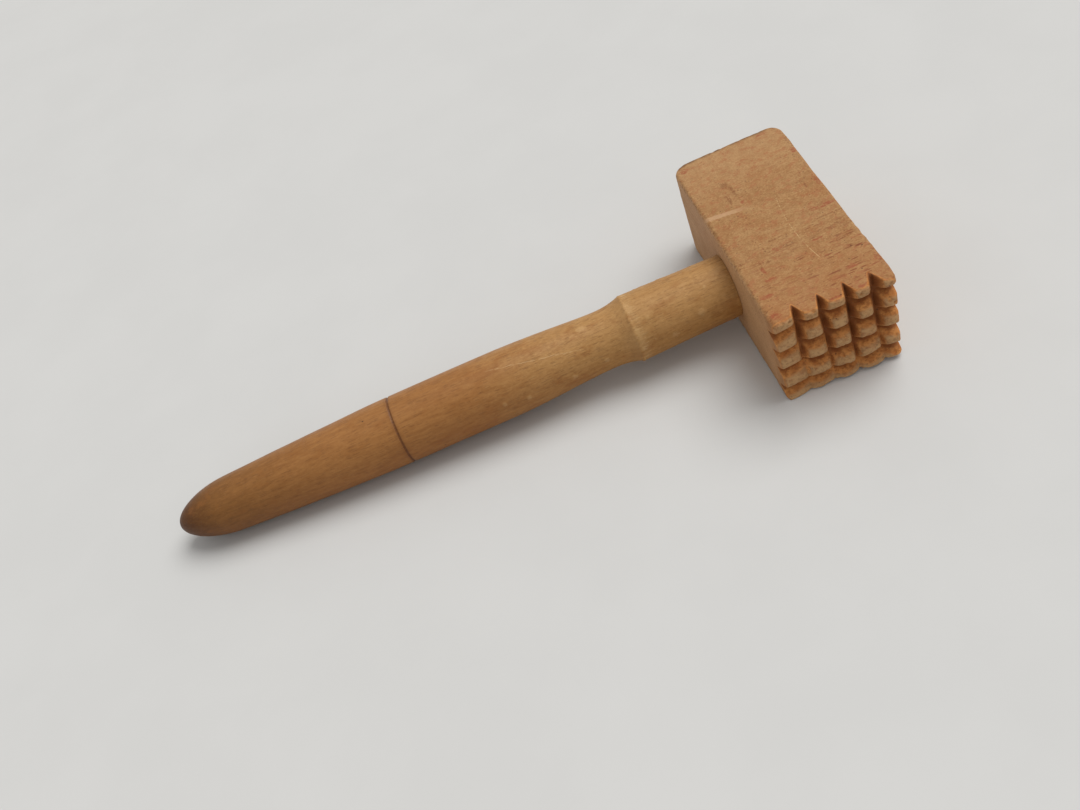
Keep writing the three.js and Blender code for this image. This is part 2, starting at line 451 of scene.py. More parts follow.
def head_shape():
    """The worn block with its teeth, before the bore is cut."""
    xs = divide((-HALF_WIDTH, HALF_WIDTH, HEAD_STEP))
    zs = divide((-HALF_THICK, HALF_THICK, HEAD_STEP))
    ys = divide(
        (-HALF_LENGTH, RIM_DEPTH - HALF_LENGTH, RIM_STEP),
        (RIM_DEPTH - HALF_LENGTH, PLAIN_CORNER - HALF_LENGTH, CORNER_STEP),
        (PLAIN_CORNER - HALF_LENGTH, HALF_LENGTH - TOOTH_ZONE, BODY_STEP),
        (HALF_LENGTH - TOOTH_ZONE, HALF_LENGTH, TOOTH_STEP),
    )
    lattice, faces = box_skin(xs, ys, zs)
    points = rounded(lattice)

    # Draw the skin back into the grooves: all that lies over a groove, in proportion.
    front_edge = lattice.copy()
    front_edge[:, 1] = HALF_LENGTH
    full_height = rounded(front_edge)[:, 1]
    start = HALF_LENGTH - TOOTH_ZONE
    height, _, _ = toothed_face(points[:, 0], points[:, 2])
    keep = (np.minimum(full_height, height) - start) / (full_height - start)
    behind = points[:, 1] - start
    points[:, 1] = np.where(behind > 0, start + behind * keep, points[:, 1])

    # Pounding has worn the plain face to a slight crown.
    worn = ease(points[:, 1], CROWN_DEPTH - HALF_LENGTH, -HALF_LENGTH)
    off_middle = (points[:, 0] / HALF_WIDTH) ** 2 + (points[:, 2] / HALF_THICK) ** 2
    points[:, 1] += worn * (PLAIN_CROWN * off_middle / 2 - PLAIN_PROUD)
    return points, faces


def head_dents(points, draw):
    """Chips along the block's edges and knocks on its faces."""
    depth, _, _ = inset(points)
    off_cheek = HALF_THICK - np.abs(points[:, 2])
    body = points[:, 1] < HALF_LENGTH - TOOTH_ZONE / 2
    on_edge = np.flatnonzero((depth < 1.2) & (off_cheek < 1.2) & body)
    on_tooth = np.flatnonzero(points[:, 1] > HALF_LENGTH - 2.2)
    height = np.zeros(len(points))
    for pool, count, radii, depths in (
        (on_edge, 44, (0.7, 2.2), (0.1, 0.38)),
        (on_tooth, 120, (0.6, 1.7), (0.15, 0.65)),
        (np.arange(len(points)), 90, (0.7, 2.4), (0.04, 0.18)),
    ):
        places = points[draw.choice(pool, count)]
        height += dents(points, places, draw.uniform(*radii, count), draw.uniform(*depths, count))
    return height


def patches(points, places):
    """1 in the middle of soft oval patches of the upper cheek, 0 away from them."""
    total = np.zeros(len(points))
    for x, y, half_x, half_y in places:
        away = np.hypot((points[:, 0] - x) / half_x, (points[:, 1] - y) / half_y)
        total = np.maximum(total, ease(away, 1.5, 0.4))
    return total * ease(points[:, 2], HALF_THICK - 4, HALF_THICK - 2)


CUT_PAST = 3  # how far a cutting shape reaches past what it cuts
BORE_SLACK = 0.12  # between the tenon and its bore
BORE_CHAMFER = 0.35


def bore_cutter(radius, mouth_radius):
    """The bore right through the head: round, and opened to an oval at the wedged end."""
    outline = np.array(
        [
            (-HALF_WIDTH - CUT_PAST, 0),
            (-HALF_WIDTH - CUT_PAST, radius + BORE_CHAMFER + CUT_PAST),
            (-HALF_WIDTH + BORE_CHAMFER, radius),
            (HALF_WIDTH - BORE_CHAMFER, radius),
            (HALF_WIDTH + CUT_PAST, radius + BORE_CHAMFER + CUT_PAST),
            (HALF_WIDTH + CUT_PAST, 0),
        ]
    )
    points, faces = lathe(outline, 96)
    points[:, 1] *= np.where(points[:, 0] < 0, mouth_radius / radius, 1)
    points[:, 2] -= DROP
    return new_piece("bore_cutter", points, faces)


def make_head(material):
    draw = np.random.default_rng(11)
    points, faces = head_shape()
    head = new_piece("mallet_head", points, faces)
    waves = 0.22 * noise(points, 24, 51) + 0.07 * noise(points, 6, 52)
    grain = 0.035 * noise(points * (0.25, 1, 1), 1.3, 53)
    round_joint = np.hypot(points[:, 1], points[:, 2] + DROP)
    away = np.where(points[:, 0] > 0, ease(round_joint, NECK_RADIUS, NECK_RADIUS + 5), 1)
    emboss(head, away * (waves + grain + head_dents(points, draw)))
    cut(head, bore_cutter(TENON_RADIUS + BORE_SLACK, MOUTH_RADIUS + BORE_SLACK))

    points = points_of(head)
    height, tops, columns = toothed_face(points[:, 0], points[:, 2])
    in_zone = ease(points[:, 1] - height, -2.2, -0.6)
    below = tops - points[:, 1]
    mark(head, "groove", in_zone * np.clip((below - 0.5) / 6, 0, 1))
    mark(head, "slot", in_zone * ease(tops - columns, 0.6, 3.2))
    mark(head, "stain", patches(points, RED_STAINS))
    mark(head, "dirt", patches(points, BROWN_STAINS))
    mark(head, "tip", in_zone * ease(below, 1.9, 0.6))
    depth, _, _ = inset(points)
    off_cheek = HALF_THICK - np.abs(points[:, 2])
    body = ease(points[:, 1], HALF_LENGTH - 1, HALF_LENGTH - 7)
    mark(head, "rim", body * ease(np.hypot(depth, off_cheek), 2.6, 0.7))
    settle(head, material, "head", 48)


# ---------------------------------------------------------------- handle and wedge

HANDLE_SIDES = 144
RING_DEPTH = 0.4  # of the ring burned round the grip
RING_HALF_WIDTH = 0.7
RIDGE_ROUNDING = 3  # passes that take the keenness off the ridge
TENON_PROUD = 0.25  # how far the tenon stands out of the head's outer end
KNOCK_DEPTH = 0.3  # of the pale knocks
PALE_KNOCKS = (  # X, degrees round from the toothed side, and radius
    (44, 22, 3.0),
    (58, 4, 2.8),
    (39, 60, 1.6),
    (67, 52, 1.8),
    (90, 6, 2.0),
    (106, 3, 2.2),
    (128, 7, 1.9),
    (139, 14, 1.7),
    (96, 84, 3.2),
    (120, 118, 2.6),
)


def turned_stations():
    """The handle's (x, radius) outline outside the head, its drop and its tenon's radii."""
    points = cad_points("handle")
    points = points[np.argsort(points[:, 0])]
    drop = -points[-1, 2]
    radius = np.hypot(points[:, 1], points[:, 2] + drop)
    groups = np.split(np.arange(len(points)), np.flatnonzero(np.diff(points[:, 0]) > 0.05) + 1)
    stations = np.array([(points[g, 0].mean(), radius[g].max()) for g in groups])
    end = points[groups[0]]
    tenon_radius = np.abs(end[:, 2] + drop).max()
    mouth_radius = np.abs(end[:, 1]).max()
    return stations[stations[:, 0] > HALF_WIDTH], drop, tenon_radius, mouth_radius


STATIONS, DROP, TENON_RADIUS, MOUTH_RADIUS = turned_stations()
BELOW_BOTH = np.diff(np.sign(np.diff(STATIONS[:, 1]))) > 0
NARROWEST = [i + 1 for i in np.flatnonzero(BELOW_BOTH)]
RING = next(i for i in NARROWEST if STATIONS[i + 1, 0] - STATIONS[i - 1, 0] < 2)
RING_PLACE = STATIONS[RING, 0]
SHOULDER = HALF_WIDTH + 0.05  # nearer the head than the CAD handle, which keeps a gap
NECK_RADIUS = STATIONS[0, 1]
RIDGE = 1
RIDGE_PLACE = STATIONS[RIDGE, 0]
NOSE_TIP = STATIONS[-1, 0]


def through(points, steps=24):
    """A smooth line through points: a centripetal Catmull-Rom spline."""
    first = 2 * points[0] - points[1]
    last = 2 * points[-1] - points[-2]
    guide = np.concatenate([[first], points, [last]])
    line = []
    for p0, p1, p2, p3 in zip(guide, guide[1:], guide[2:], guide[3:]):
        t1 = math.sqrt(np.linalg.norm(p1 - p0))
        t2 = t1 + math.sqrt(np.linalg.norm(p2 - p1))
        t3 = t2 + math.sqrt(np.linalg.norm(p3 - p2))
        t = np.linspace(t1, t2, steps, endpoint=False)[:, None]
        a1 = p0 + (p1 - p0) * t / t1
        a2 = p1 + (p2 - p1) * (t - t1) / (t2 - t1)
        a3 = p2 + (p3 - p2) * (t - t2) / (t3 - t2)
        b1 = a1 + (a2 - a1) * t / t2
        b2 = a2 + (a3 - a2) * (t - t1) / (t3 - t1)
        line.append(b1 + (b2 - b1) * (t - t1) / (t2 - t1))
    return np.concatenate([*line, [points[-1]]])


def handle_outline():
    """The whole handle's (x, radius) line, closely divided, with ridge and ring."""
    body = np.concatenate([STATIONS[RIDGE : RING - 1], STATIONS[RING + 2 :]])
    body[-1, 1] = 0
    mirrored = body[-2] * (1, -1)
    curve = through(np.concatenate([body, [mirrored]]))
    curve = curve[: np.argmin(curve[:, 1] > 0)]
    line = np.concatenate([[(SHOULDER, NECK_RADIUS)], curve, [(NOSE_TIP, 0)]])
    run = np.concatenate([[0], np.cumsum(np.hypot(*np.diff(line, axis=0).T))])
    ridge = np.interp(RIDGE_PLACE, line[: len(line) // 2, 0], run[: len(line) // 2])
    ring = np.interp(RING_PLACE, line[:-9, 0], run[:-9])
    marks = divide(
        (0.6, ridge - 1.5, 1.1),
        (ridge - 1.5, ridge + 1.5, 0.16),
        (ridge + 1.5, ring - 1.2, 0.9),
        (ring - 1.2, ring + 1.2, 0.15),
        (ring + 1.2, run[-1] - 0.6, 0.9),
    )
    x, radius = np.interp(marks, run, line[:, 0]), np.interp(marks, run, line[:, 1])
    near_ridge = np.abs(marks - ridge) < 1.2
    for _ in range(RIDGE_ROUNDING):
        mean = (np.roll(radius, 1) + radius + np.roll(radius, -1)) / 3
        radius = np.where(near_ridge, mean, radius)
    ring_share = np.clip(1 - np.abs(x - RING_PLACE) / RING_HALF_WIDTH, 0, 1)
    radius -= RING_DEPTH * ring_share**0.7
    end = -HALF_WIDTH - TENON_PROUD
    tenon = [(end, 0)]
    tenon += [(end, share * (TENON_RADIUS - 0.5)) for share in np.linspace(0.1, 1, 10)]
    tenon += [(end + 0.15, TENON_RADIUS - 0.15)]
    tenon += [(place, TENON_RADIUS) for place in np.linspace(end + 0.6, SHOULDER - 0.1, 30)]
    tenon += [(SHOULDER, NECK_RADIUS - 0.7), (SHOULDER, NECK_RADIUS - 0.15)]
    tenon += [(SHOULDER + 0.15, NECK_RADIUS)]
    return np.concatenate([tenon, np.stack([x, radius], 1), [(NOSE_TIP, 0)]])


def wedge_halves():
    """The wedge's length and its half thickness at its outer end and its tip."""
    points = cad_points("wedge")
    outer = points[:, 0] < points[:, 0].min() + 0.1
    inner = points[:, 0] > points[:, 0].max() - 0.1
    length = np.ptp(points[:, 0])
    return length, np.abs(points[outer, 1]).max(), np.abs(points[inner, 1]).max()


WEDGE_LENGTH, WEDGE_HALF, WEDGE_TIP_HALF = wedge_halves()
WEDGE_PROUD = 0.45  # how far it stands out of the head
SAW_CUT_SLACK = 0.05  # between the wedge and the saw cut
SAW_CUT_PAST_WEDGE = 6  # how much deeper the saw cut goes than the wedge


def saw_cut_cutter():
    """The opened saw cut in the tenon, which the wedge fills."""
    stations = [
        (-HALF_WIDTH - CUT_PAST, WEDGE_HALF + SAW_CUT_SLACK),
        (-HALF_WIDTH, WEDGE_HALF + SAW_CUT_SLACK),
        (-HALF_WIDTH + WEDGE_LENGTH, WEDGE_TIP_HALF + SAW_CUT_SLACK),
        (-HALF_WIDTH + WEDGE_LENGTH + SAW_CUT_PAST_WEDGE, WEDGE_TIP_HALF + SAW_CUT_SLACK),
    ]
    xs = np.array([x for x, _ in stations])
    reach = TENON_RADIUS + CUT_PAST
    points, faces = box_skin(xs, np.array([-1.0, 1.0]), np.array([-reach, reach]) - DROP)
    points[:, 1] *= np.interp(points[:, 0], xs, [half for _, half in stations])
    return new_piece("saw_cut_cutter", points, faces)


def handle_dents(points, draw):
    """Knocks, mostly on the neck, and the nicks along the ridge."""
    neck = np.flatnonzero((points[:, 0] > SHOULDER + 1) & (points[:, 0] < RIDGE_PLACE - 1))
    grip = np.flatnonzero(points[:, 0] > RIDGE_PLACE + 3)
    ridge = np.flatnonzero(np.abs(points[:, 0] - RIDGE_PLACE) < 0.3)
    height = np.zeros(len(points))
    for pool, count, radii, depths in (
        (neck, 42, (0.8, 2.6), (0.06, 0.22)),
        (grip, 60, (0.7, 3.0), (0.03, 0.12)),
        (ridge, 26, (0.6, 1.5), (0.1, 0.3)),
    ):
        places = points[draw.choice(pool, count)]
        height += dents(points, places, draw.uniform(*radii, count), draw.uniform(*depths, count))
    return height


def knock_places():
    """The middles and radii of the pale knocks, on the handle's skin."""
    x, turn, radii = np.array(PALE_KNOCKS).T
    radius = np.interp(x, *STATIONS.T)
    turn = np.radians(turn)
    places = np.stack([x, radius * np.cos(turn), radius * np.sin(turn) - DROP], 1)
    return places, radii


def make_handle(material):
    draw = np.random.default_rng(12)
    outline = handle_outline()
    points, faces = lathe(outline, HANDLE_SIDES)
    share = np.clip((WEDGE_LENGTH - HALF_WIDTH - points[:, 0]) / WEDGE_LENGTH, 0, 1)
    points[:, 1] *= 1 + share * (MOUTH_RADIUS / TENON_RADIUS - 1)
    points[:, 2] -= DROP
    handle = new_piece("mallet_handle", points, faces)
    outside = ease(points[:, 0], SHOULDER, SHOULDER + 3)
    waves = 0.16 * noise(points * (0.5, 1, 1), 14, 61) + 0.03 * noise(points * (0.3, 1, 1), 3, 62)
    places, radii = knock_places()
    knocks = dents(points, places, radii, np.full(len(radii), KNOCK_DEPTH))
    emboss(handle, outside * (waves + handle_dents(points, draw) + knocks))
    cut(handle, saw_cut_cutter())
    mark(handle, "knock", -dents(points_of(handle), places, radii, np.ones(len(radii))))
    settle(handle, material, "handle", 35)


def make_wedge(material):
    """A hardwood wedge with a mallet-bruised end, trimmed to the tenon's round."""
    outer = -HALF_WIDTH - WEDGE_PROUD
    inner = -HALF_WIDTH + WEDGE_LENGTH
    unit = divide((-1, 1, 0.25))
    tall = divide((-1, 1, 0.05))
    points, faces = box_skin(divide((outer, outer + 1, 0.2), (outer + 1, inner, 0.9)), unit, tall)
    x, y, z = points.T
    half = np.interp(x, (outer, inner), (WEDGE_HALF, WEDGE_TIP_HALF))
    bruise = ease(x, outer + 0.9, outer)
    y = y * half * (1 - 0.12 * bruise)
    z = z * np.sqrt((TENON_RADIUS - 0.15) ** 2 - y**2) * (1 - 0.02 * bruise)
    points = np.stack([x, y, z - DROP], 1)
    points[:, 0] += bruise * 0.18 * noise(points, 1.6, 71)
    wedge = new_piece("mallet_wedge", points, faces)
    settle(wedge, material, "wedge", 40)


# ---------------------------------------------------------------- materials


def tone(red, green, blue):
    """A colour given as 0-255 screen values, as Blender's linear colour."""
    shares = [value / 255 for value in (red, green, blue)]
    linear = [s / 12.92 if s <= 0.04045 else ((s + 0.055) / 1.055) ** 2.4 for s in shares]
    return (*linear, 1.0)


class Paint:
    """Builds one material's nodes with short calls. Places are in the tool's millimetres."""

    def __init__(self, name):
        self.material = bpy.data.materials.new(name)
        self.material.use_nodes = True
        self.tree = self.material.node_tree
        self.tree.nodes.clear()
        source = self.node("ShaderNodeTexCoord").outputs["Object"]
        self.place = self.node(
            "ShaderNodeMapping",
            {
                "Vector": source,
                "Location": HEAD_MIDDLE,
                "Rotation": (0, TILT, 0),
                "Scale": (MM, MM, MM),
            },
            vector_type="TEXTURE",
        ).outputs[0]
        parts = self.node("ShaderNodeSeparateXYZ", {0: self.place}).outputs
        self.x, self.y, self.z = parts
        self.color = None  # the material's colour so far

    def node(self, kind, inputs=None, **settings):
        node = self.tree.nodes.new(kind)
        for name, value in settings.items():
            setattr(node, name, value)
        for name, value in (inputs or {}).items():
            if isinstance(value, bpy.types.NodeSocket):
                self.tree.links.new(value, node.inputs[name])
            else:
                node.inputs[name].default_value = value
        return node

    def math(self, operation, a, b=0.0, c=0.0):
        return self.node("ShaderNodeMath", {0: a, 1: b, 2: c}, operation=operation).outputs[0]

    def plus(self, a, b):
        return self.math("ADD", a, b)

    def times(self, a, b):
        return self.math("MULTIPLY", a, b)

    def span(self, value, low, high, to_low=0.0, to_high=1.0):
        """value from low..high to to_low..to_high, held at both ends."""
        numbers = {0: value, 1: low, 2: high, 3: to_low, 4: to_high}
        kind = "SMOOTHSTEP"
        return self.node("ShaderNodeMapRange", numbers, interpolation_type=kind).outputs[0]

    def band(self, value, middle, half, soft):
        """1 within half of middle, and 0 from soft beyond that."""
        off = self.math("ABSOLUTE", self.plus(value, -middle))
        return self.span(off, half + soft, half)

    def stretched(self, sizes, shift=(0, 0, 0)):
        """The place in units of sizes, in millimetres along X, Y and Z."""
        scale = tuple(1 / size for size in sizes)
        inputs = {"Vector": self.place, "Location": shift, "Scale": scale}
        return self.node("ShaderNodeMapping", inputs).outputs[0]

    def noise(self, sizes, detail=3.0, roughness=0.55, shift=(0, 0, 0)):
        """Cloudy values from 0 to 1 whose lumps are about sizes large."""
        inputs = {
            "Vector": self.stretched(sizes, shift),
            "Scale": 1.0,
            "Detail": detail,
            "Roughness": roughness,
        }
        return self.node("ShaderNodeTexNoise", inputs).outputs[0]

    def spots(self, sizes, radius, share, shift=(0, 0, 0)):
        """1 in scattered spots of a radius in cells, in that share of the cells."""
        inputs = {"Vector": self.stretched(sizes, shift), "Scale": 1.0, "Randomness": 1.0}
        cells = self.node("ShaderNodeTexVoronoi", inputs)
        lot = self.node("ShaderNodeSeparateColor", {0: cells.outputs["Color"]}).outputs[0]
        chosen = self.math("LESS_THAN", lot, share)
        return self.times(self.span(cells.outputs["Distance"], radius, radius * 0.5), chosen)

    def mix(self, share, a, b, mode="MIX"):
        """Colour a turned towards colour b by share."""
        node = self.node("ShaderNodeMix", data_type="RGBA", blend_type=mode)
        for index, value in ((0, share), (6, a), (7, b)):
            if isinstance(value, bpy.types.NodeSocket):
                self.tree.links.new(value, node.inputs[index])
            else:
                node.inputs[index].default_value = value
        return node.outputs[2]

    def coat(self, share, over, mode="MIX"):
        """Turns the material's colour so far towards another by share."""
        self.color = self.mix(share, self.color, over, mode)

    def attribute(self, name):
        return self.node("ShaderNodeAttribute", attribute_name=name).outputs["Fac"]

    def finish(self, roughness, height, depth, specular=0.5):
        """The shader: height is from 0 to 1 over a relief of depth millimetres."""
        bump = self.node(
            "ShaderNodeBump", {"Height": height, "Distance": depth * MM, "Strength": 1.0}
        )
        shader = self.node(
            "ShaderNodeBsdfPrincipled",
            {
                "Base Color": self.color,
                "Roughness": roughness,
                "Normal": bump.outputs[0],
                "Specular IOR Level": specular,
            },
        )
        self.node("ShaderNodeOutputMaterial", {"Surface": shader.outputs[0]})
        return self.material


def growth_rings(paint, pith_y, pith_z, width, waver):
    """Early to late wood, 0 to 1, round a pith that runs along X."""
    bend = paint.noise((70, 24, 24), 2.0)
    off_y = paint.math("POWER", paint.plus(paint.y, -pith_y), 2.0)
    off_z = paint.math("POWER", paint.plus(paint.z, -pith_z), 2.0)
    radius = paint.math("SQRT", paint.plus(off_y, off_z))
    radius = paint.plus(radius, paint.times(bend, waver))
    saw = paint.math("FRACT", paint.times(radius, 1 / width))
    return paint.times(paint.span(saw, 0.15, 0.9), paint.span(saw, 1.0, 0.92))


def head_wood():
    """Pale, dry beech, scrubbed grey where it was washed and stained where it struck."""
    p = Paint("head_wood")
    rings = growth_rings(p, -38, -88, 3.6, 9.0)
    streaks = p.noise((5, 1.3, 1.3), 5.0, 0.68)
    fine = p.noise((1.8, 0.5, 0.5), 3.0, 0.62)
    grit = p.noise((0.95, 0.75, 0.75), 2.0, 0.6, (3, 8, 2))
    mottle = p.noise((3.4, 2.8, 2.8), 4.0, 0.7, (9, 2, 6))
    blotches = p.noise((15, 12, 12), 5.0, 0.68, (7, 3, 1))
    pale = p.noise((11, 9, 9), 5.0, 0.68, (31, 17, 5))
    p.color = p.mix(p.span(mottle, 0.4, 0.62), tone(173, 131, 84), tone(160, 117, 71))
    planed = p.noise((2.4, 30, 8), 3.0, 0.6, (5, 5, 2))
    p.coat(p.span(planed, 0.5, 0.66, 0, 0.35), tone(152, 108, 62))
    p.coat(p.span(streaks, 0.42, 0.7, 0, 0.4), tone(150, 104, 61))
    p.coat(p.times(rings, 0.1), tone(140, 94, 54))
    p.coat(p.span(blotches, 0.48, 0.66, 0, 0.5), tone(158, 106, 62))
    p.coat(p.span(pale, 0.52, 0.7, 0, 0.5), tone(180, 142, 94))
    p.coat(p.span(fine, 0.52, 0.72, 0, 0.4), tone(140, 94, 54))
    p.coat(p.span(grit, 0.54, 0.68, 0, 0.42), tone(130, 84, 46))
    p.coat(p.span(grit, 0.46, 0.32, 0, 0.36), tone(198, 156, 108))

    # Torn, dark pores along the grain, most of them towards the teeth and the outer end.
    toward_teeth = p.span(p.y, -4, 34, 0.06, 1.0)
    toward_outer = p.span(p.x, 16, -6, 0.45, 1.0)
    clusters = p.span(p.noise((9, 4, 4), 2.0, 0.5, (13, 4, 9)), 0.36, 0.56, 0.12, 1.0)
    worked = p.times(p.times(toward_teeth, toward_outer), clusters)
    struck = p.span(p.y, -56.4, -57.4, 0, 0.6)
    worked = p.math("MAXIMUM", worked, p.times(struck, clusters))
    flecks = p.math(
        "MAXIMUM",
        p.spots((4.6, 0.85, 0.85), 0.5, 0.32),
        p.spots((9.0, 0.8, 0.8), 0.46, 0.26, (3, 9, 2)),
    )
    p.coat(p.times(flecks, p.times(worked, 0.9)), tone(118, 58, 30))
    specks = p.spots((1.3, 1.0, 1.0), 0.32, 0.12, (6, 6, 1))
    p.coat(p.times(specks, 0.75), tone(100, 60, 36))

    # Reddish and brown stains, ragged at their edges.
    ragged = p.plus(p.noise((2.2, 0.9, 0.9), 6.0, 0.8, (11, 5, 8)), -0.5)
    ragged = p.times(ragged, 4.2)
    near_teeth = p.span(p.y, 30, 54, 0, 0.4)
    stain = p.math("MAXIMUM", p.attribute("stain"), near_teeth)
    stains = p.span(p.plus(stain, ragged), 0.5, 1.15)
    stains = p.times(stains, p.span(stain, 0.0, 0.3, 0.45, 1.0))
    smear = p.plus(p.noise((0.9, 2.6, 1.6), 5.0, 0.78, (6, 1, 3)), -0.5)
    dirty = p.attribute("dirt")
    dirt = p.span(p.plus(dirty, p.times(smear, 4.0)), 0.45, 1.3)
    dirt = p.times(dirt, p.span(dirty, 0.02, 0.4))
    # Lighter towards the plain face, and darker and redder towards the teeth.
    p.coat(p.span(p.y, -16, -56, 0, 0.3), tone(196, 156, 112))
    p.coat(p.span(p.y, 14, 54, 0, 0.3), tone(166, 106, 58))
    flush = p.noise((4.5, 3.4, 3.4), 6.0, 0.76, (21, 4, 14))
    p.coat(p.span(flush, 0.5, 0.62, 0, 0.5), tone(160, 96, 58))
    p.coat(p.times(dirt, 0.65), tone(122, 72, 36))
    p.coat(p.times(stains, 0.68), tone(148, 68, 40))
    # Darker rounded edges round the plain face: partly grime and chips, partly painted shade on
    # the rounding.
    rear = p.times(p.span(p.y, -54, -57), p.span(mottle, 0.35, 0.55, 0.3, 1.0))
    rear_rim_grime_and_shade = p.times(rear, p.attribute("rim"))
    p.coat(p.times(rear_rim_grime_and_shade, 0.75), tone(104, 72, 46))

    # A rubbed pale band and a dotted scratch on the upper cheek.
    upper = p.span(p.z, HALF_THICK - 2, HALF_THICK - 0.8)
    band_line = p.plus(p.y, p.math("MULTIPLY_ADD", p.x, 0.15, 12.6))
    fuzzy = p.plus(band_line, p.times(p.plus(grit, -0.5), 1.2))
    fuzzy = p.plus(fuzzy, p.times(p.plus(mottle, -0.5), 1.6))
    band = p.times(p.band(fuzzy, 0, 0.95, 0.55), p.span(p.x, 4, 17, 0.0, 1.0))
    p.coat(p.times(p.times(band, upper), 0.6), tone(200, 160, 122))
    bow = p.math("POWER", p.plus(p.y, -9), 2.0)
    scratch_line = p.math("MULTIPLY_ADD", bow, 0.0045, p.plus(p.x, 3.5))
    scratch = p.times(p.band(scratch_line, 0, 0.16, 0.16), p.band(p.y, 8, 22, 3))
    dotted = p.span(p.noise((1.6, 1.1, 1.1), 2.0, 0.5, (2, 2, 2)), 0.42, 0.56)
    scratch = p.times(p.times(scratch, dotted), upper)
    p.coat(p.times(scratch, 0.65), tone(208, 168, 118))

    # End grain on the two faces that cross the fibres: duller, greyer and pricked.
    normal = p.node("ShaderNodeNewGeometry").outputs["Normal"]
    across = p.math("ABSOLUTE", p.node("ShaderNodeSeparateXYZ", {0: normal}).outputs[0])
    end_grain = p.times(p.span(across, 0.55, 0.95), p.span(p.y, 52, 46, 0.4, 1.0))
    pricks = p.spots((0.7, 0.7, 0.7), 0.45, 0.5)
    dull = p.mix(p.span(blotches, 0.3, 0.7), tone(206, 160, 114), tone(192, 147, 104))
    dull = p.mix(p.times(rings, p.span(streaks, 0.35, 0.65, 0.1, 0.3)), dull, tone(150, 106, 70))
    dull = p.mix(p.span(grit, 0.5, 0.66, 0, 0.4), dull, tone(140, 96, 62))
    dull = p.mix(p.times(pricks, 0.3), dull, tone(116, 78, 48))
    p.coat(p.times(end_grain, 0.8), dull)

    # Teeth: orange-brown flanks, painted shade that darkens the grooves to nearly black at their
    # floors, and greyed tips.
    groove = p.attribute("groove")
    tip = p.attribute("tip")
    patchy = p.noise((3.2, 3.2, 3.2), 3.0, 0.6, (4, 4, 4))
    slot = p.attribute("slot")
    torn = p.noise((1.5, 1.2, 1.2), 3.0, 0.65, (2, 5, 7))
    flank = p.mix(p.span(patchy, 0.35, 0.65), tone(210, 144, 78), tone(184, 116, 56))
    flank = p.mix(p.span(torn, 0.45, 0.65, 0, 0.6), flank, tone(144, 84, 38))
    p.coat(p.span(groove, 0.0, 0.14, 0, 0.95), flank)
    # Painted shade: darker with depth down the level grooves, darker in the upright grooves, and
    # nearly black at the floors.
    groove_shade = p.plus(groove, p.times(p.plus(patchy, -0.5), 0.4))
    p.coat(p.span(groove_shade, 0.3, 0.6, 0, 0.8), tone(134, 76, 33))
    p.coat(p.times(slot, p.span(patchy, 0.3, 0.6, 0.9, 0.6)), tone(132, 76, 34))
    p.coat(p.span(groove, 0.66, 0.95, 0, 0.8), tone(58, 31, 15))
    faces_out = p.node("ShaderNodeSeparateXYZ", {0: normal}).outputs[1]
    greyed = p.times(tip, p.span(faces_out, 0.25, 0.8))
    greyed = p.times(greyed, p.span(patchy, 0.3, 0.6, 0.3, 0.85))
    p.coat(greyed, tone(188, 148, 102))
    p.coat(p.times(p.times(p.span(torn, 0.5, 0.64), tip), 0.4), tone(122, 82, 50))
    p.coat(p.times(p.times(p.span(ragged, 0.2, 0.9), tip), 0.4), tone(160, 88, 62))

    # Rubbed edges, and a few dark pits.
    rim = p.attribute("rim")
    p.coat(p.times(rim, p.span(patchy, 0.4, 0.7, 0, 0.4)), tone(190, 148, 100))
    p.coat(p.times(rim, p.span(torn, 0.48, 0.62, 0, 0.5)), tone(112, 74, 42))
    pits = p.times(p.spots((1.9, 1.5, 1.5), 0.24, 0.14, (5, 1, 7)), worked)
    p.coat(p.times(pits, 0.8), tone(70, 42, 26))

    relief = p.plus(p.times(streaks, 0.35), p.times(fine, 0.25))
    relief = p.plus(relief, p.times(flecks, p.times(worked, -0.25)))
    relief = p.plus(relief, p.plus(p.times(pits, -0.6), p.times(scratch, -0.5)))
    relief = p.plus(relief, p.times(p.times(pricks, end_grain), -0.3))
    roughness = p.span(blotches, 0.3, 0.8, 0.64, 0.78)
    return p.finish(roughness, relief, 0.22, specular=0.3)


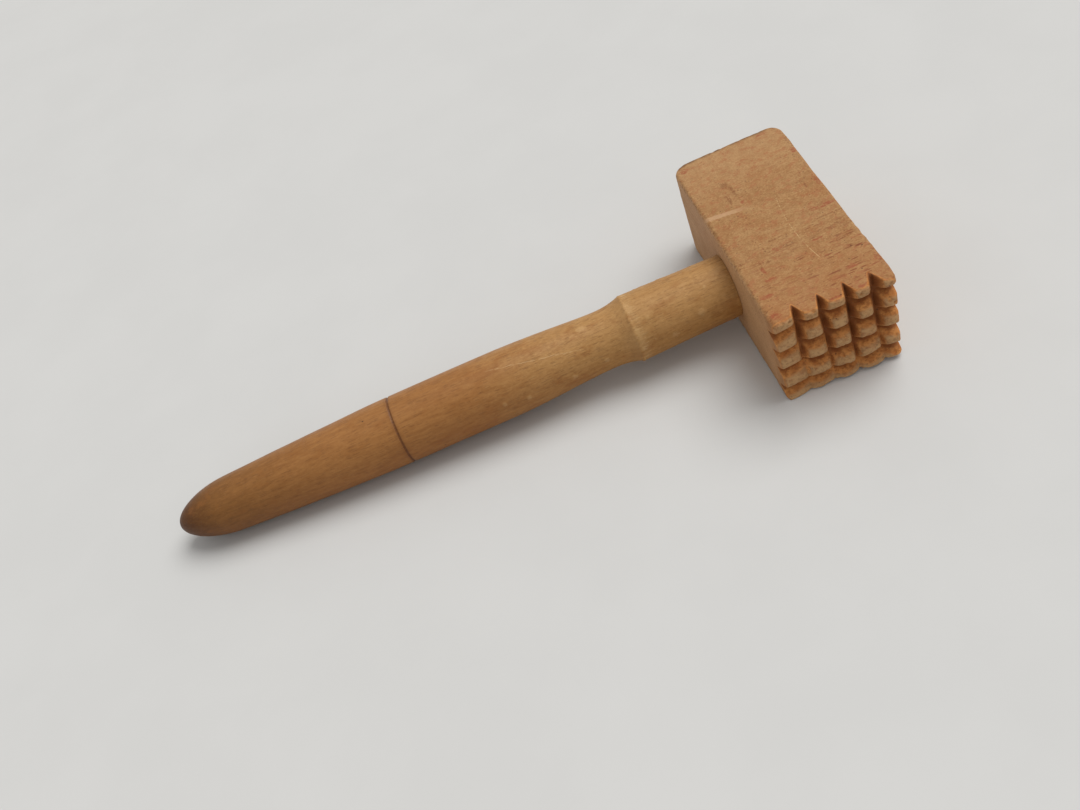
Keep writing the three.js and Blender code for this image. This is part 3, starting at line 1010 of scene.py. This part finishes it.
def handle_wood():
    """Turned hardwood, waxed by hands: long fine grain, darker towards the nose."""
    p = Paint("handle_wood")
    rings = growth_rings(p, 9, -31, 2.7, 5.0)
    streaks = p.noise((9, 1.6, 1.6), 5.0, 0.68)
    fine = p.noise((3, 0.5, 0.5), 3.0, 0.6)
    grit = p.noise((1.3, 0.9, 0.9), 2.0, 0.6, (3, 8, 2))
    clouds = p.noise((13, 8, 8), 5.0, 0.68, (5, 8, 3))
    lean = p.span(streaks, 0.34, 0.72)
    light = p.mix(lean, tone(183, 139, 86), tone(169, 125, 73))
    dark = p.mix(lean, tone(164, 113, 62), tone(148, 98, 50))
    nose_dark = p.mix(lean, tone(129, 86, 41), tone(110, 71, 32))
    # Darker from the neck towards the nose: partly hand patina, partly painted shade along the
    # grip.
    hand = p.plus(p.x, p.times(p.plus(clouds, -0.5), 80))
    p.color = p.mix(p.span(hand, 90, 160), light, dark)
    p.coat(p.span(hand, NOSE_TIP - 92, NOSE_TIP - 4), nose_dark)
    # Painted shade: the nose end, which faces away from the key light, is darkened.
    p.coat(p.span(p.x, NOSE_TIP - 24, NOSE_TIP - 3, 0, 0.85), tone(80, 44, 12))
    p.coat(p.times(rings, 0.1), tone(140, 92, 48))
    p.coat(p.span(fine, 0.5, 0.75, 0, 0.3), tone(140, 94, 50))
    p.coat(p.span(grit, 0.54, 0.72, 0, 0.22), tone(122, 78, 38))
    fleck = p.times(p.span(grit, 0.46, 0.3, 0, 0.22), p.span(p.x, 90, 170, 1.0, 0.25))
    p.coat(fleck, tone(206, 162, 104))
    p.coat(p.span(clouds, 0.5, 0.68, 0, 0.45), tone(148, 94, 44))
    pores = p.math(
        "MAXIMUM",
        p.spots((3.4, 0.36, 0.36), 0.5, 0.22),
        p.spots((6.5, 0.4, 0.4), 0.5, 0.12, (2, 6, 4)),
    )
    p.coat(p.times(pores, 0.32), tone(98, 60, 30))
    dots = p.spots((9, 6.5, 6.5), 0.06, 0.3, (3, 3, 3))
    p.coat(p.times(dots, 0.85), tone(52, 32, 20))

    # Painted shade: the lower half is darkened and warmed, to stand in for the shade under the
    # handle.
    low = p.span(p.z, 9, -5)
    p.coat(p.times(low, 0.85), (0.9, 0.8, 0.6, 1), mode="MULTIPLY")

    # Scuffs: pale knocks and scratches, torn grain and lost polish at the ridge.
    neck = p.span(p.x, RIDGE_PLACE + 1, RIDGE_PLACE - 2)
    scuffs = p.span(p.noise((2.2, 2.6, 2.6), 4.0, 0.7, (8, 1, 6)), 0.62, 0.74)
    p.coat(p.times(scuffs, p.span(neck, 0, 1, 0.03, 0.3)), tone(210, 174, 122))
    rough = p.plus(p.noise((2.2, 1.6, 1.6), 5.0, 0.75, (4, 4, 9)), -0.5)
    knock = p.attribute("knock")
    knocked = p.span(p.plus(knock, p.times(rough, 3.2)), 0.15, 0.95)
    knocked = p.times(knocked, p.span(knock, 0.02, 0.6))
    p.coat(p.times(knocked, 0.36), tone(202, 162, 110))
    before_ridge = p.span(p.x, RIDGE_PLACE - 7, RIDGE_PLACE - 1)
    ticks = p.span(p.noise((4, 0.9, 0.9), 2.0, 0.5, (1, 7, 2)), 0.56, 0.66)
    ticks = p.times(p.times(ticks, before_ridge), neck)
    p.coat(p.times(ticks, 0.4), tone(216, 180, 128))
    broken = p.plus(p.x, p.times(rough, 9.0))
    worn_ridge = p.band(broken, RIDGE_PLACE - 1.6, 0.4, 2.4)
    worn_ridge = p.times(worn_ridge, p.span(clouds, 0.35, 0.62, 0.42, 0.12))
    p.coat(worn_ridge, tone(206, 168, 116))
    # Painted shade: a greyer, darker band in the cove just past the ridge.
    past_ridge = p.span(p.x, RIDGE_PLACE, RIDGE_PLACE + 1)
    cove_shade = p.times(past_ridge, p.span(p.x, RIDGE_PLACE + 10, RIDGE_PLACE + 1))
    p.coat(p.times(cove_shade, 0.3), tone(154, 118, 76))
    line = p.plus(p.y, p.math("MULTIPLY_ADD", p.x, 0.1425, -23.85))
    line = p.plus(line, p.times(p.plus(clouds, -0.5), 3.0))
    scratch = p.times(p.band(line, 0, 0.1, 0.22), p.band(p.x, 120, 16, 8))
    scratch = p.times(scratch, p.span(fine, 0.35, 0.6))
    p.coat(p.times(scratch, 0.4), tone(216, 180, 132))

    # The burned ring, with a faint scorched margin.
    scorch = p.band(p.x, RING_PLACE, 0.6, 1.8)
    p.coat(p.times(scorch, 0.25), tone(110, 68, 34))
    burnt = p.times(p.band(p.x, RING_PLACE, 0.25, 0.5), p.span(fine, 0.25, 0.6, 0.85, 0.5))
    p.coat(burnt, tone(84, 42, 20))

    # The tenon's sawn end is end grain, dirty and unpolished.
    end_face = p.span(p.x, -HALF_WIDTH + 0.6, -HALF_WIDTH + 0.1)
    sawn = p.mix(p.times(rings, 0.6), tone(158, 116, 74), tone(112, 76, 46))
    sawn = p.mix(p.span(grit, 0.5, 0.66, 0, 0.5), sawn, tone(98, 66, 40))
    out_y = p.math("POWER", p.times(p.y, 1 / MOUTH_RADIUS), 2.0)
    out_z = p.math("POWER", p.times(p.plus(p.z, DROP), 1 / TENON_RADIUS), 2.0)
    sawn = p.mix(p.span(p.plus(out_y, out_z), 0.84, 0.98, 0, 0.7), sawn, tone(78, 50, 30))
    p.coat(p.times(end_face, 0.85), sawn)

    relief = p.plus(p.times(streaks, 0.3), p.times(fine, 0.3))
    relief = p.plus(relief, p.plus(p.times(pores, -0.35), p.times(dots, -0.5)))
    relief = p.plus(relief, p.times(p.times(scuffs, neck), -0.4))
    polish = p.span(p.x, RIDGE_PLACE - 10, RIDGE_PLACE + 60, 0.54, 0.44)
    roughness = p.plus(polish, p.span(fine, 0.3, 0.7, -0.05, 0.08))
    roughness = p.plus(roughness, p.times(end_face, 0.25))
    return p.finish(roughness, relief, 0.12, specular=0.25)


def wedge_wood():
    """A dark, hard wedge with its end bruised."""
    p = Paint("wedge_wood")
    streaks = p.noise((14, 0.5, 0.8), 4.0, 0.6)
    p.color = p.mix(p.span(streaks, 0.3, 0.7), tone(148, 104, 66), tone(104, 68, 40))
    pricks = p.spots((3, 0.35, 0.35), 0.5, 0.4)
    p.coat(p.times(pricks, 0.5), tone(66, 42, 26))
    relief = p.plus(p.times(streaks, 0.5), p.times(pricks, -0.4))
    return p.finish(p.span(streaks, 0.3, 0.7, 0.62, 0.78), relief, 0.15)


def floor_paint():
    """Smooth pale studio board with a barely visible mottle."""
    p = Paint("studio_floor")
    mottle = p.noise((60, 60, 60), 4.0)
    p.color = p.mix(p.span(mottle, 0.3, 0.7), (0.63, 0.63, 0.625, 1), (0.615, 0.615, 0.61, 1))
    return p.finish(0.8, mottle, 0.05, specular=0.2)


# ---------------------------------------------------------------- floor, light and camera


KEY_DIRECTION = (-0.45, -0.2, 0.87)  # towards the key light, in the tool's axes
KEY_BREADTH = 45  # degrees across, as seen from the mallet
KEY_STRENGTH = 2.0
SURROUND_STRENGTH = 0.5
FLOOR_HALF = 15.0  # in metres


def make_floor():
    grid = np.linspace(-FLOOR_HALF, FLOOR_HALF, 9)
    x, y = np.meshgrid(grid, grid, indexing="ij")
    points = np.stack([x.ravel(), y.ravel(), np.zeros(x.size)], 1)
    key = np.arange(x.size).reshape(x.shape)
    faces = np.stack([key[:-1, :-1], key[1:, :-1], key[1:, 1:], key[:-1, 1:]], -1).reshape(-1, 4)
    floor = new_piece("studio_floor", points, faces)
    floor.data.materials.append(floor_paint())


def tool_direction(x, y, z):
    """A direction given in the tool's axes, in the row frame."""
    return (TURN @ Vector((x, y, z))).normalized()


def make_lights():
    """A broad, soft key light that is even over the whole floor, and a pale surround."""
    data = bpy.data.lights.new("key", "SUN")
    data.angle = math.radians(KEY_BREADTH)
    data.energy = KEY_STRENGTH
    data.color = (1.0, 0.99, 0.965)
    key = bpy.data.objects.new("key", data)
    direction = tool_direction(*KEY_DIRECTION)
    key.location = direction
    key.rotation_euler = direction.to_track_quat("Z", "Y").to_euler()
    bpy.context.scene.collection.objects.link(key)
    world = bpy.data.worlds.new("studio")
    world.use_nodes = True
    background = world.node_tree.nodes["Background"]
    background.inputs["Color"].default_value = (1.0, 0.99, 0.97, 1)
    background.inputs["Strength"].default_value = SURROUND_STRENGTH
    bpy.context.scene.world = world
    bpy.context.scene.view_settings.view_transform = "Standard"
    bpy.context.scene.view_settings.look = "None"


VIEW_AZIMUTH = 183.3  # round the tool, 0 looks along +Y
VIEW_ELEVATION = 47.6  # above the cheek's plane
VIEW_ROLL = 26.1
VIEW_AIM = (125.1, 20.6, -2.0)  # what the middle of the picture shows, in the tool's axes
VIEW_DISTANCE = 504
LENS = 38.33


def make_camera():
    azimuth, elevation = math.radians(VIEW_AZIMUTH), math.radians(VIEW_ELEVATION)
    level = math.cos(elevation)
    back = Vector((math.sin(azimuth) * level, -math.cos(azimuth) * level, math.sin(elevation)))
    right = Vector((0, 0, 1)).cross(back).normalized()
    axes = Matrix((right, back.cross(right), back)).transposed()
    axes = TURN @ axes @ Matrix.Rotation(math.radians(-VIEW_ROLL), 3, "Z")
    data = bpy.data.cameras.new("camera")
    data.lens = LENS
    data.sensor_width = 36
    data.clip_start = 0.01
    camera = bpy.data.objects.new("camera", data)
    place = TOOL @ (Vector(VIEW_AIM) + back * VIEW_DISTANCE)
    camera.matrix_world = Matrix.Translation(place) @ axes.to_4x4()
    bpy.context.scene.collection.objects.link(camera)
    bpy.context.scene.camera = camera


make_camera()
make_floor()
make_lights()
make_head(head_wood())
make_handle(handle_wood())
make_wedge(wedge_wood())
